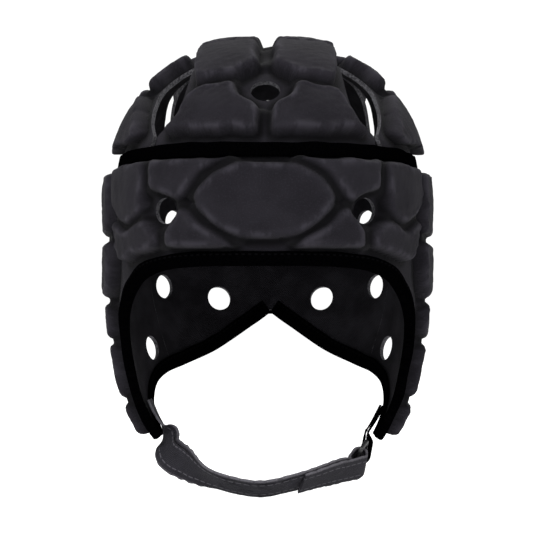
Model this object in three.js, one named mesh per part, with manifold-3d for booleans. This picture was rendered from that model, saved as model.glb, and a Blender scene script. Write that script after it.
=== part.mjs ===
// A padded rugby scrum cap as it is worn, in millimetres, +Z up, the wearer facing -Y.
// The origin is on the lining at the crown, where the top of the head bears.
// Each panel is a sheet of laminate with foam pads moulded into its outer face. A panel is drawn flat,
// as a pattern, and then laid on the head form. Tape binds the edges and covers the crown seam.
import * as THREE from "three";
import Module from "manifold-3d";

const wasm = await Module();
wasm.setup();

// The head form, measured on the lining
const headHalfWidth = 80.5;
const headFrontDepth = 97;
const headBackDepth = 99;
const crownHeight = 80; // from the widest level up to the crown
const domeSquareness = 2.15;
const planSquareness = 2.3;
const skirtHeight = 140; // from the widest level down to the jaw
const skirtSections = [
  // shares of the skirt height and of the head's half sizes
  { drop: 0, width: 1, front: 1, back: 1 },
  { drop: 0.14, width: 1, front: 0.995, back: 0.99 },
  { drop: 0.29, width: 1, front: 0.98, back: 0.95 },
  { drop: 0.43, width: 0.996, front: 0.96, back: 0.89 },
  { drop: 0.57, width: 0.969, front: 0.94, back: 0.82 },
  { drop: 0.68, width: 0.932, front: 0.92, back: 0.77 },
  { drop: 0.79, width: 0.882, front: 0.9, back: 0.73 },
  { drop: 0.89, width: 0.801, front: 0.88, back: 0.7 },
  { drop: 1, width: 0.683, front: 0.845, back: 0.67 },
];

// The sheet, the pads and the vents
const laminate = 2.5;
const padHeight = 8.5; // above the laminate
const padShoulder = 2.6; // how far the top edge is rounded in
const ventRadius = 7.2;
const crownVentRadius = 7.8;

// The main lines, as drops along Z
const seamDrop = 56.6; // from the crown to the seam between crown and band, at the front
const seamSag = 4.6; // how much lower the seam runs above the ears
const browHeight = 58.4; // from the seam to the edge over the eyes
const napeDrop = 88.4; // from the seam to the notch at the nape
const tabDrop = 154.4; // from the seam to the tip of the cheek tabs
const crownReach = 107; // along the surface from the crown to the seam, which the crown tables use
const patternRadius = 90; // turns an angle round the head into a length on the flat pattern

// Tapes and gaps
const gap = 0.4; // between pieces that are sewn together
const bindingCover = 6;
const bindingWall = 1.2;
const bindingBeyond = 1.6;
const bindingSlack = 1; // under the lining, whose facets lie a little inside its curve
const tapeLift = laminate + 0.7; // over the laminate
const seamTapeWidth = 7;
const seamTapeThick = 1.5;
const longestEdge = 24; // of a facet on a panel
const tapeStep = 9;

// The nape tie, chin strap and its ring
const napeTieLength = 20;
const napeTieWidth = 8;
const strapWidth = 20;
const strapThick = 1.6;
const strapHalfSpan = 70; // from the middle to the tabs' outer faces
const strapForward = 45; // how far the strap reaches ahead of the tabs
const strapFall = 27; // how far it hangs below them
const strapTabLift = -5.1; // the strap's sewn end lies on the tab's lining
const strapFold = 3.2; // inside radius of the loose fold through the ring
const strapEnd = 21.2; // where the strap's free end comes back to, as a step out of 28
const ringBarSize = 2.2;
const ringBarClear = ringBarSize * 0.77 + gap; // from a bar's middle to the webbing round its corners
const ringDepth = 10;
const ringCorner = 3;
const ringTabWidth = 14;
const ringTabThick = 1;
const ringTabLift = -4.2;

const { degToRad, radToDeg, lerp, smoothstep } = THREE.MathUtils;

// The head form's half sizes at a height, by the dome's curve above and the table below
const sectionSizes = new THREE.CubicInterpolant(
  skirtSections.map((row) => row.drop),
  skirtSections.flatMap((row) => [row.width, row.front, row.back]),
  3,
);

function halfSizesAt(z) {
  const above = z + crownHeight;
  let shares = [1, 1, 1];
  if (above >= 0) {
    const rise = Math.min(above / crownHeight, 1);
    const share = (1 - rise ** domeSquareness) ** (1 / domeSquareness);
    shares = [share, share, share];
  } else {
    shares = sectionSizes.evaluate(Math.min(-above / skirtHeight, 1));
  }
  return {
    width: headHalfWidth * shares[0],
    front: headFrontDepth * shares[1],
    back: headBackDepth * shares[2],
  };
}

function headPoint(angle, z) {
  const half = halfSizesAt(z);
  if (half.width < 1e-6) return new THREE.Vector3(0, 0, z);
  const across = Math.sin(angle);
  const along = -Math.cos(angle);
  const depth = along < 0 ? half.front : half.back;
  const powers = [across / half.width, along / depth].map((share) => Math.abs(share) ** planSquareness);
  const radius = (powers[0] + powers[1]) ** (-1 / planSquareness);
  return new THREE.Vector3(radius * across, radius * along, z);
}

// Length along a mean meridian of the dome against height, so that the crown can be drawn flat
const meridian = [{ length: 0, z: 0 }];
const meanRadius = (headHalfWidth + (headFrontDepth + headBackDepth) / 2) / 2;
for (let step = 1, last = new THREE.Vector2(0, 0); step <= 200; step++) {
  const turn = (Math.PI / 2) * (step / 200);
  const out = meanRadius * Math.sin(turn) ** (2 / domeSquareness);
  const down = crownHeight * (Math.cos(turn) ** (2 / domeSquareness) - 1);
  const here = new THREE.Vector2(out, down);
  meridian.push({ length: meridian[step - 1].length + here.distanceTo(last), z: down });
  last = here;
}

function heightAtLength(length) {
  const end = meridian[meridian.length - 1];
  if (length >= end.length) return end.z - (length - end.length);
  const next = meridian.findIndex((row) => row.length > length);
  const [low, high] = [meridian[next - 1], meridian[next]];
  return lerp(low.z, high.z, (length - low.length) / (high.length - low.length));
}

function lengthAtHeight(z) {
  const next = meridian.findIndex((row) => row.z < z);
  const [low, high] = [meridian[next - 1], meridian[next]];
  return lerp(low.length, high.length, (z - low.z) / (high.z - low.z));
}

// Two flat patterns: the crown's is seen from above, and the band's is unrolled round the head
function crownSurface(u, v) {
  return headPoint(Math.atan2(u, -v), heightAtLength(Math.hypot(u, v)));
}

function bandSurface(u, v) {
  return headPoint(u / patternRadius, v);
}

function lay(surface, flat) {
  const reach = 0.05;
  const right = surface(flat.x + reach, flat.y).sub(surface(flat.x - reach, flat.y));
  const up = surface(flat.x, flat.y + reach).sub(surface(flat.x, flat.y - reach));
  return surface(flat.x, flat.y).addScaledVector(right.cross(up).normalize(), flat.z);
}

function seamHeight(angle) {
  return -seamDrop - seamSag * Math.sin(angle) ** 4;
}

const around = (degrees) => degToRad(degrees) * patternRadius;
const mirrored = (points) => points.map((p) => new THREE.Vector2(-p.x, p.y)).reverse();

// Flat outlines

// A polygon whose corners are rounded, with as many steps to a corner as asked for
function roundedOutline(corners, radius, steps = 1) {
  const points = [];
  corners.forEach((corner, i) => {
    const before = corners[(i + corners.length - 1) % corners.length];
    const after = corners[(i + 1) % corners.length];
    const back = Math.min(radius, corner.distanceTo(before) * 0.48);
    const on = Math.min(radius, corner.distanceTo(after) * 0.48);
    const start = corner.clone().lerp(before, back / corner.distanceTo(before));
    const end = corner.clone().lerp(after, on / corner.distanceTo(after));
    points.push(...new THREE.QuadraticBezierCurve(start, corner, end).getPoints(steps));
  });
  return counterClockwise(points);
}

function counterClockwise(points) {
  return THREE.ShapeUtils.isClockWise(points) ? points.reverse() : points;
}

function circle(centre, radius, sides = 12) {
  return Array.from({ length: sides }, (_, i) => {
    const turn = (2 * Math.PI * i) / sides;
    return new THREE.Vector2(centre.x + radius * Math.cos(turn), centre.y + radius * Math.sin(turn));
  });
}

function insetOutline(points, distance) {
  return points.map((point, i) => {
    const before = points[(i + points.length - 1) % points.length];
    const after = points[(i + 1) % points.length];
    const into = point.clone().sub(before).normalize();
    const outOf = after.clone().sub(point).normalize();
    const inward = new THREE.Vector2(-into.y - outOf.y, into.x + outOf.x).normalize();
    const share = Math.max(inward.dot({ x: -into.y, y: into.x }), 0.6);
    return point.clone().addScaledVector(inward, distance / share);
  });
}

// Points on the way from one end to another, both ends left out
function between(start, end, step) {
  const count = Math.ceil(start.distanceTo(end) / step);
  return Array.from({ length: count - 1 }, (_, i) => start.clone().lerp(end, (i + 1) / count));
}

function smoothLine(points, step) {
  const curve = new THREE.SplineCurve(points);
  return curve.getSpacedPoints(Math.round(curve.getLength() / step));
}

// Meshes are lists of points and faces until they become solids

function wall(low, high) {
  return low.flatMap((a, i) => {
    const next = (i + 1) % low.length;
    return [[a, low[next], high[next]], [a, high[next], high[i]]];
  });
}

// Triangles over an outline, evened out by turning each shared edge whose two far corners are too blunt
function fill(outline, holes = []) {
  const faces = THREE.ShapeUtils.triangulateShape(outline, holes);
  const points = [outline, ...holes].flat();
  const blunt = (at, a, b) => {
    const [toA, toB] = [points[a].clone().sub(points[at]), points[b].clone().sub(points[at])];
    return Math.abs(Math.atan2(toA.cross(toB), toA.dot(toB)));
  };
  for (let turns = 1; turns > 0; ) {
    turns = 0;
    const sides = new Map();
    faces.forEach((face, f) =>
      face.forEach((a, i) => sides.set(a + "_" + face[(i + 1) % 3], [f, face[(i + 2) % 3]])),
    );
    const done = new Set();
    for (const [side, [f, c]] of sides) {
      const [a, b] = side.split("_").map(Number);
      const [g, d] = sides.get(b + "_" + a) ?? [];
      if (g === undefined || done.has(f) || done.has(g)) continue;
      if (blunt(c, a, b) + blunt(d, a, b) < Math.PI + 0.001) continue;
      faces[f] = [c, a, d];
      faces[g] = [d, b, c];
      done.add(f).add(g);
      turns++;
    }
  }
  return faces;
}

const upsideDown = (faces) => faces.map(([a, b, c]) => [a, c, b]);

// Splits every edge that is too long, the same way on both sides of it
function refine({ points, faces }, longest) {
  const middles = new Map();
  const middle = (a, b) => {
    if (points[a].distanceTo(points[b]) <= longest) return -1;
    const key = a < b ? a + "_" + b : b + "_" + a;
    if (!middles.has(key)) {
      middles.set(key, points.length);
      points.push(points[a].clone().lerp(points[b], 0.5));
    }
    return middles.get(key);
  };
  const split = faces.flatMap((face) => {
    const cuts = face.map((a, i) => middle(a, face[(i + 1) % 3]));
    const number = cuts.filter((cut) => cut >= 0).length;
    if (number === 0) return [face];
    // turned so that the first edge is cut, and with two cuts the second as well
    const turn = number === 2 ? (cuts.indexOf(-1) + 1) % 3 : cuts.findIndex((cut) => cut >= 0);
    const [a, b, c] = [0, 1, 2].map((i) => face[(i + turn) % 3]);
    const [ab, bc, ca] = [0, 1, 2].map((i) => cuts[(i + turn) % 3]);
    if (number === 1) return [[a, ab, c], [ab, b, c]];
    if (number === 2) return [[ab, b, bc], [a, ab, bc], [a, bc, c]];
    return [[a, ab, ca], [ab, b, bc], [ca, bc, c], [ab, bc, ca]];
  });
  return middles.size ? refine({ points, faces: split }, longest) : { points, faces: split };
}

function toSolid({ points, faces }) {
  const vertProperties = new Float32Array(points.flatMap((p) => [p.x, p.y, p.z]));
  const triVerts = new Uint32Array(faces.flat());
  return new wasm.Manifold(new wasm.Mesh({ numProp: 3, vertProperties, triVerts }));
}

// A sheet of laminate, flat on the pattern, with pads raised from its outer face and vents through it
function panelSolid(surface, edge, pads, vents) {
  const outline = counterClockwise(edge);
  const points = [];
  const faces = [];
  const ring = (shape, lift) => {
    points.push(...shape.map((p) => new THREE.Vector3(p.x, p.y, lift)));
    return shape.map((_, i) => points.length - shape.length + i);
  };
  const holes = [...pads.map((pad) => pad.outline), ...vents];
  const shapes = [outline, ...holes];
  const inner = shapes.map((shape) => ring(shape, 0));
  const outer = shapes.map((shape) => ring(shape, laminate));
  const sheet = fill(outline, holes);
  const onRings = (rings) => sheet.map((face) => face.map((i) => rings.flat()[i]));
  faces.push(...onRings(outer), ...upsideDown(onRings(inner)), ...wall(inner[0], outer[0]));
  pads.forEach((pad, i) => {
    const top = laminate + padHeight * (pad.height ?? 1);
    const shoulder = ring(insetOutline(pad.outline, padShoulder * 0.25), top - padShoulder);
    const crest = ring(insetOutline(pad.outline, padShoulder), top);
    const cap = fill(pad.outline);
    faces.push(...wall(outer[i + 1], shoulder), ...wall(shoulder, crest));
    faces.push(...cap.map((face) => face.map((k) => crest[k])));
    faces.push(...upsideDown(cap.map((face) => face.map((k) => inner[i + 1][k]))));
  });
  vents.forEach((_, i) => {
    const at = i + 1 + pads.length;
    faces.push(...wall(outer[at], inner[at]));
  });
  const mesh = refine({ points, faces }, longestEdge);
  return toSolid({ points: mesh.points.map((flat) => lay(surface, flat)), faces: mesh.faces });
}

// The crown: tables in hundredths of the reach from crown to seam, for the wearer's left, which is +X.
// side is across the head, and along runs from the front, which is negative, to the back.
const crownUnit = crownReach / 100;
const crownPoint = ({ side, along }) => new THREE.Vector2(side * crownUnit, along * crownUnit);

const leafFrontInnerEdge = [
  { side: 37.8, along: -14 },
  { side: 37.8, along: -30 },
  { side: 39, along: -48 },
  { side: 42.4, along: -62 },
  { side: 47.5, along: -69.5 },
  { side: 54.5, along: -72.6 },
  { side: 62, along: -73.4 },
];
const leafBackInnerEdge = [
  { side: 38.2, along: 14 },
  { side: 46, along: 19.5 },
  { side: 51.5, along: 29 },
  { side: 55, along: 42 },
  { side: 58, along: 56 },
  { side: 61, along: 66 },
  { side: 62.5, along: 73 },
];
const leafOuterEdge = [
  { side: 39.2, along: -14.2 },
  { side: 49.5, along: -15 },
  { side: 58.5, along: -24.5 },
  { side: 62.6, along: -42 },
  { side: 65.3, along: -58 },
  { side: 64.6, along: -70.6 },
];
// Pads: points are [side, along], corner is how far each corner is cut in mm, and height is a share of
// the height that all the pads have
const crownPads = [
  {
    corner: 7,
    points: [[35, -65.4], [15.8, -68.6], [12.8, -75.5], [3.4, -84], [3.4, -96.2], [30, -91], [51.5, -81.5],
      [43.5, -76.5]],
  },
  {
    corner: 8,
    height: 1.15,
    points: [[3.4, -22.6], [35, -22.6], [35, -61.6], [15.5, -64.5], [11.8, -60.5], [3.4, -55.5]],
  },
  { corner: 8, height: 1.15, points: [[3.4, 19.2], [35, 19.2], [35, -19.2], [3.4, -19.2]] },
  {
    corner: 8,
    height: 1.15,
    points: [[3.4, 22.6], [41, 22.6], [50, 45], [49, 61.6], [15.5, 64.5], [11.8, 60.5], [3.4, 55.5]],
  },
  {
    corner: 7,
    points: [[51, 65.4], [15.8, 68.6], [12.8, 75.5], [3.4, 84], [3.4, 96.2], [30, 91], [53, 80]],
  },
];
const crownSidePads = [
  {
    corner: 7,
    height: 1.15,
    points: [[41, -11.6], [50, -12.4], [58.5, -21.5], [65, -20], [65, 20], [58.5, 21.5], [50, 12.4],
      [41, 11.6]],
  },
  { corner: 7, points: [[67.8, -24], [67.4, -40], [69, -64.5], [80, -57.6], [87.5, -44], [93.6, -26.5]] },
  { corner: 8, points: [[68.4, -20], [95.5, -22.5], [101, 0], [95.5, 22.5], [68.4, 20]] },
];

function crownPadOutline({ points, corner }) {
  return roundedOutline(points.map(([side, along]) => crownPoint({ side, along })), corner);
}

// The seam's line on the crown pattern, from one angle to another
function crownSeamArc(fromDegrees, toDegrees) {
  const count = Math.round(Math.abs(toDegrees - fromDegrees) / 5);
  return Array.from({ length: count + 1 }, (_, i) => {
    const angle = degToRad(lerp(fromDegrees, toDegrees, i / count));
    const reach = lengthAtHeight(seamHeight(angle)) - gap / 2;
    return new THREE.Vector2(reach * Math.sin(angle), -reach * Math.cos(angle));
  });
}

// An outline from its half on the +X side, which starts and ends on the middle line
const wholeOutline = (half) => [...mirrored(half).slice(0, -1), ...half.slice(0, -1)];

const turned = (points) => points.map((p) => new THREE.Vector2(p.x, -p.y)).reverse();

function crownPanel() {
  const front = smoothLine(leafFrontInnerEdge.map(crownPoint), 7);
  const back = smoothLine(leafBackInnerEdge.map(crownPoint), 7);
  const half = [...crownSeamArc(180, 139.5), ...back.reverse(), ...front, ...crownSeamArc(39.5, 0)];
  const shapes = crownPads.map(crownPadOutline);
  const vents = [-69.5, 69.5].map((along) => circle(crownPoint({ side: 0, along }), crownVentRadius));
  const pads = crownPads.flatMap(({ height }, i) =>
    [shapes[i], mirrored(shapes[i])].map((shape) => ({ outline: counterClockwise(shape), height })),
  );
  return panelSolid(crownSurface, wholeOutline(half), pads, vents);
}

function crownSidePanel(side) {
  const front = smoothLine(leafOuterEdge.map(crownPoint), 7);
  const outline = [...turned(front), ...front, ...crownSeamArc(43.5, 136.5)];
  const shapes = crownSidePads.map((pad) => ({ outline: crownPadOutline(pad), height: pad.height }));
  const pads = [...shapes, { outline: turned(shapes[1].outline) }];
  return handedPanel(crownSurface, side, outline, pads, []);
}

// Outlines drawn for the wearer's left, turned over for the right
function handedPanel(surface, side, outline, pads, vents) {
  const handed = (points) => counterClockwise(side < 0 ? mirrored(points) : [...points]);
  const handedPads = pads.map((pad) => ({ ...pad, outline: handed(pad.outline) }));
  return panelSolid(surface, handed(outline), handedPads, vents.map(handed));
}

// The band: angles round the head in degrees from the front, and drops as shares of a named size
const bandPoint = (degrees, z) => new THREE.Vector2(around(degrees), z);
const browEdge = -seamDrop - browHeight;
const tabTip = -seamDrop - tabDrop;
const notch = -seamDrop - napeDrop;

// fall runs from 0 at the brow's edge, or at the notch, to 1 at the tip of the cheek tab
const faceEdge = [
  { turn: 0, fall: 0 },
  { turn: 12, fall: 0 },
  { turn: 24, fall: 0.007 },
  { turn: 35, fall: 0.028 },
  { turn: 45, fall: 0.075 },
  { turn: 53.5, fall: 0.155 },
  { turn: 61, fall: 0.25 },
  { turn: 67.5, fall: 0.354 },
  { turn: 71.5, fall: 0.49 },
  { turn: 73.5, fall: 0.635 },
  { turn: 75.5, fall: 0.781 },
  { turn: 79, fall: 0.906 },
  { turn: 84, fall: 1 },
];
const napeEdge = [
  { turn: 179.2, fall: 0 },
  { turn: 173, fall: 0.098 },
  { turn: 157.5, fall: 0.31 },
  { turn: 142.5, fall: 0.432 },
  { turn: 131, fall: 0.5 },
  { turn: 122, fall: 0.583 },
  { turn: 115, fall: 0.697 },
  { turn: 108, fall: 0.833 },
  { turn: 102, fall: 1 },
];
const browSeamTurn = 63.5;
// fall runs from 0 at the crown seam to 1 at the nape edge
const backSeam = [
  { turn: 128, fall: 0.03 },
  { turn: 128, fall: 0.5 },
  { turn: 130.5, fall: 0.76 },
  { turn: 134.5, fall: 1 },
];

const edgeLine = (table, top) =>
  smoothLine(table.map(({ turn, fall }) => bandPoint(turn, lerp(top, tabTip, fall))), tapeStep);
const faceLine = edgeLine(faceEdge, browEdge);
const napeLine = edgeLine(napeEdge, notch);

// Where a line of points crosses an angle round the head
function heightOnLine(line, turn) {
  const u = around(turn);
  const next = line.findIndex((p, i) => i > 0 && (p.x - u) * (line[i - 1].x - u) <= 0);
  const [a, b] = [line[next - 1], line[next]];
  return lerp(a.y, b.y, (u - a.x) / (b.x - a.x));
}

function bandSeamLine(fromDegrees, toDegrees) {
  const count = Math.round(Math.abs(toDegrees - fromDegrees) / 5);
  return Array.from({ length: count + 1 }, (_, i) => {
    const degrees = lerp(fromDegrees, toDegrees, i / count);
    return bandPoint(degrees, seamHeight(degToRad(degrees)) - gap / 2);
  });
}

function backSeamLine(shift) {
  const foot = heightOnLine(napeLine, backSeam.at(-1).turn + radToDeg(shift / patternRadius));
  const points = backSeam.map(({ turn, fall }) => bandPoint(turn, lerp(-seamDrop, foot, fall)));
  return smoothLine(points, 9).map((p) => new THREE.Vector2(p.x + shift, p.y));
}

// Pads: points are [degrees from the front, drop from the seam], the drop as a share of a named size
const browPads = [
  {
    corner: 12,
    points: [[-21.4, 0.43], [-16.5, 0.23], [-8, 0.115], [8, 0.115], [16.5, 0.23], [21.4, 0.43], [16, 0.64],
      [7, 0.78], [-7, 0.78], [-16, 0.64]],
  },
];
const browSidePads = [
  {
    corner: 4,
    points: [[10.5, 0.085], [36.8, 0.085], [35.8, 0.34], [30.5, 0.385], [25.2, 0.45], [22.6, 0.38],
      [18.5, 0.2]],
  },
  {
    corner: 4,
    points: [[8.6, 0.86], [12, 0.765], [18.8, 0.645], [22, 0.53], [24.5, 0.5], [27.6, 0.6], [30, 0.7],
      [30, 0.86]],
  },
  {
    corner: 7,
    points: [[39.6, 0.09], [61.8, 0.13], [61.8, 0.45], [56, 0.56], [48, 0.655], [40, 0.56], [38.6, 0.3]],
  },
  {
    corner: 7,
    points: [[33, 0.73], [36.5, 0.625], [40, 0.615], [48, 0.72], [58.6, 0.6], [58, 0.84], [53, 1],
      [44, 0.93], [33, 0.86]],
  },
];
const sidePads = [
  // shares of the tab drop
  { corner: 7, points: [[66.2, 0.062], [91.6, 0.065], [91.6, 0.25], [86, 0.287], [66.2, 0.27]] },
  { corner: 7, points: [[95.2, 0.065], [126, 0.058], [126, 0.27], [101, 0.285], [95.2, 0.25]] },
  {
    corner: 7,
    points: [[66.2, 0.3], [86, 0.315], [91.6, 0.345], [91.6, 0.465], [87, 0.495], [74, 0.503], [68.5, 0.46],
      [66.2, 0.4]],
  },
  {
    corner: 7,
    points: [[95.2, 0.345], [101, 0.313], [126, 0.298], [126.2, 0.49], [100, 0.495], [95.2, 0.465]],
  },
  { corner: 6, points: [[76.4, 0.53], [86, 0.521], [91.6, 0.585], [91.6, 0.636], [78.6, 0.64]] },
  {
    corner: 6,
    points: [[95.2, 0.585], [101, 0.521], [121, 0.521], [121, 0.6], [116, 0.636], [95.2, 0.636]],
  },
  { corner: 6, points: [[80.2, 0.668], [113, 0.662], [108, 0.82], [105, 0.84], [83, 0.845]] },
  { corner: 5, points: [[84.6, 0.874], [104, 0.87], [100, 0.965], [88.5, 0.965]] },
];
const backPads = [
  // shares of the nape drop
  { corner: 7, points: [[130.4, 0.075], [141.4, 0.075], [140.6, 0.27], [137, 0.37], [130.4, 0.37]] },
  { corner: 7, points: [[145.4, 0.075], [177.6, 0.075], [177.6, 0.35], [150.5, 0.35], [146.4, 0.27]] },
  {
    corner: 7,
    points: [[130.4, 0.42], [135, 0.42], [139, 0.52], [148, 0.52], [151, 0.41], [155, 0.41], [155, 0.66],
      [146, 0.71], [137, 0.69], [130.6, 0.68]],
  },
  { corner: 7, points: [[158.5, 0.41], [177.6, 0.41], [177.6, 0.88], [170, 0.82], [158.5, 0.74]] },
  { corner: 6, points: [[133.4, 0.97], [142, 0.87], [151, 0.81], [156, 0.97], [152.5, 1.1], [136.5, 1.19]] },
  { corner: 6, points: [[162.5, 1], [168.5, 0.9], [171, 0.93], [169, 1.02], [160.5, 1.09]] },
];

// Vents: [degrees from the front, the same share of the drop]
const browVents = [[32.5, 0.53]];
const sideVents = [[93.4, 0.295], [93.4, 0.524], [123.8, 0.695]];
const backVents = [[143.5, 0.387], [136.6, 0.815], [160.5, 0.895]];

const bandOutline = (size) => ({ points, corner }) =>
  roundedOutline(points.map(([turn, drop]) => bandPoint(turn, -seamDrop - drop * size)), corner);

const bandVents = (table, size) =>
  table.map(([turn, drop]) => circle(bandPoint(turn, -seamDrop - drop * size), ventRadius));

function browPanel() {
  const foot = bandPoint(browSeamTurn, heightOnLine(faceLine, browSeamTurn));
  const seam = bandSeamLine(browSeamTurn, 0);
  const half = [...faceLine.filter((p) => p.x < foot.x - 2), foot, ...between(foot, seam[0], 9), ...seam];
  const besides = browSidePads.map(bandOutline(browHeight));
  const shapes = [...browPads.map(bandOutline(browHeight)), ...besides, ...besides.map(mirrored)];
  const pads = shapes.map((outline) => ({ outline: counterClockwise(outline) }));
  const vents = bandVents(browVents, browHeight);
  return panelSolid(bandSurface, wholeOutline(half), pads, [...vents, ...vents.map(mirrored)]);
}

function sidePanel(side) {
  const front = browSeamTurn + radToDeg(gap / patternRadius);
  const foot = bandPoint(front, heightOnLine(faceLine, front));
  const back = backSeamLine(0);
  const seam = bandSeamLine(back[0].x / around(1), front);
  const outline = [
    foot,
    ...faceLine.filter((p) => p.x > foot.x + 2),
    ...napeLine.filter((p) => p.x < back.at(-1).x - 4).reverse(),
    ...back.slice(1).reverse(),
    ...seam,
    ...between(seam.at(-1), foot, 9),
  ];
  const pads = sidePads.map((pad) => ({ outline: bandOutline(tabDrop)(pad) }));
  return handedPanel(bandSurface, side, outline, pads, bandVents(sideVents, tabDrop));
}

function backPanel(side) {
  const front = backSeamLine(gap);
  const foot = napeLine.filter((p) => p.x > front.at(-1).x + 4);
  const middle = Math.PI * patternRadius - gap / 2;
  const seam = bandSeamLine(middle / around(1), front[0].x / around(1));
  const outline = [
    ...front.slice(1),
    ...foot.toReversed(),
    new THREE.Vector2(middle, foot[0].y),
    ...between(new THREE.Vector2(middle, foot[0].y), seam[0], 9),
    ...seam,
  ];
  const pads = backPads.map((pad) => ({ outline: bandOutline(napeDrop)(pad) }));
  return handedPanel(bandSurface, side, outline, pads, bandVents(backVents, napeDrop));
}

// Rings of the same section joined one to the next, each anticlockwise as seen from the next
function sweptSolid(rings, closed = false) {
  const size = rings[0].length;
  const ids = rings.map((_, ring) => rings[0].map((_, i) => ring * size + i));
  const faces = ids.slice(1).flatMap((ring, i) => wall(ids[i], ring));
  if (closed) {
    faces.push(...wall(ids.at(-1), ids[0]));
  } else {
    const end = fill(flatSection(rings[0]));
    faces.push(...upsideDown(end), ...end.map((face) => face.map((i) => ids.at(-1)[i])));
  }
  return toSolid({ points: rings.flat(), faces });
}

// A section in space seen flat, along the way that its first and last edges lie
function flatSection(ring) {
  const right = ring[1].clone().sub(ring[0]).normalize();
  const up = ring.at(-1).clone().sub(ring[0]);
  up.addScaledVector(right, -up.dot(right)).normalize();
  const ways = ring.map((p) => p.clone().sub(ring[0]));
  return ways.map((way) => new THREE.Vector2(way.dot(right), way.dot(up)));
}

// A tape that runs along a line on the pattern; the section's x is to the line's left, and its y is lift
function tapeSolid(surface, line, section) {
  const rings = line.map((point, i) => {
    const before = line[Math.max(i - 1, 0)];
    const after = line[Math.min(i + 1, line.length - 1)];
    const along = after.clone().sub(before).normalize();
    return section.map(({ x, y }) =>
      lay(surface, new THREE.Vector3(point.x - along.y * x, point.y + along.x * x, y)),
    );
  });
  return sweptSolid(rings);
}

const bindingSection = [
  [-bindingBeyond, -bindingSlack - bindingWall],
  [bindingCover, -bindingSlack - bindingWall],
  [bindingCover, -bindingSlack],
  [-gap, -bindingSlack],
  [-gap, tapeLift],
  [bindingCover, tapeLift],
  [bindingCover, tapeLift + bindingWall],
  [-bindingBeyond, tapeLift + bindingWall],
].map(([x, y]) => new THREE.Vector2(x, y));

function faceBinding() {
  const line = [...mirrored(faceLine).slice(0, -1), ...faceLine];
  return tapeSolid(bandSurface, line, bindingSection);
}

function napeBinding(side) {
  const line = [...napeLine].reverse();
  return tapeSolid(bandSurface, side > 0 ? line : mirrored(line), bindingSection);
}

function seamTape() {
  const steps = 56;
  const half = seamTapeWidth / 2;
  const high = tapeLift + seamTapeThick;
  const section = [[-half, tapeLift], [half, tapeLift], [half, high], [-half, high]];
  const rings = Array.from({ length: steps }, (_, i) => {
    const angle = (2 * Math.PI * i) / steps;
    return section.map(([x, y]) =>
      lay(bandSurface, new THREE.Vector3(angle * patternRadius, seamHeight(angle) + x, y)),
    );
  });
  return sweptSolid(rings, true);
}

// A short tape across the notch, over the ends of both nape bindings
function napeTie() {
  const half = napeTieLength / 2;
  const low = tapeLift + bindingWall + gap;
  const high = low + seamTapeThick;
  const line = [-1, -0.5, 0, 0.5, 1].map((share) => {
    const turn = 180 + radToDeg((share * half) / patternRadius);
    return bandPoint(turn, notch + bindingCover / 2);
  });
  const wide = napeTieWidth / 2;
  const section = [[-wide, low], [wide, low], [wide, high], [-wide, high]];
  return tapeSolid(bandSurface, line, section.map(([x, y]) => new THREE.Vector2(x, y)));
}

// The chin strap, from the wearer's right cheek tab under the chin to the ring at the left one
// and back over itself. Shares of the half span, the forward reach and the fall below the tabs.
const strapStations = [
  { across: -0.82, forward: 0.22, fall: 0.36 },
  { across: -0.66, forward: 0.52, fall: 0.6 },
  { across: -0.45, forward: 0.81, fall: 0.83 },
  { across: -0.24, forward: 0.96, fall: 0.94 },
  { across: -0.03, forward: 1, fall: 1 },
  { across: 0.19, forward: 0.96, fall: 0.89 },
  { across: 0.37, forward: 0.82, fall: 0.77 },
  { across: 0.52, forward: 0.63, fall: 0.68 },
];

const strapWide = new THREE.Vector3(0, -0.86, 0.5).normalize(); // across the strap at the chin
const tabWide = new THREE.Vector3(0, -1, 0); // and at the tabs
const ringWay = new THREE.Vector3(0.46, 0.6, 0.65).normalize(); // from the strap to the ring's tab
const ringWide = strapWide.clone().addScaledVector(ringWay, -strapWide.dot(ringWay)).normalize();
const ringOut = ringWay.clone().cross(ringWide);
const ringBar = new THREE.Vector3(strapHalfSpan * 0.72, -strapForward * 0.3, tabTip - strapFall * 0.6);
const ringFarBar = ringBar.clone().addScaledVector(ringWay, ringDepth - ringBarSize);

const onRing = (from, along, out) => from.clone().addScaledVector(ringWay, along).addScaledVector(ringOut, out);

// Stations round a bar of the ring; 0 degrees is towards the ring's tab, and 90 outward
function aroundBar(bar, radius, angles) {
  return angles.map((degrees) => {
    const [along, out] = [Math.cos(degToRad(degrees)), Math.sin(degToRad(degrees))];
    const point = onRing(bar, along * radius, out * radius);
    const ahead = ringOut.clone().multiplyScalar(along).addScaledVector(ringWay, -out);
    return { point, ahead, wide: ringWide };
  });
}

// A band of webbing through stations, each with its place, its way ahead and the way across it
function webbingSolid(stations, width, thick) {
  const rings = stations.map(({ point, ahead, wide }) => {
    const out = ahead.clone().cross(wide).normalize();
    const across = out.clone().cross(ahead).normalize();
    return [[-1, -1], [1, -1], [1, 1], [-1, 1]].map(([x, y]) =>
      point.clone().addScaledVector(across, (x * width) / 2).addScaledVector(out, (y * thick) / 2),
    );
  });
  return sweptSolid(rings);
}

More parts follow.
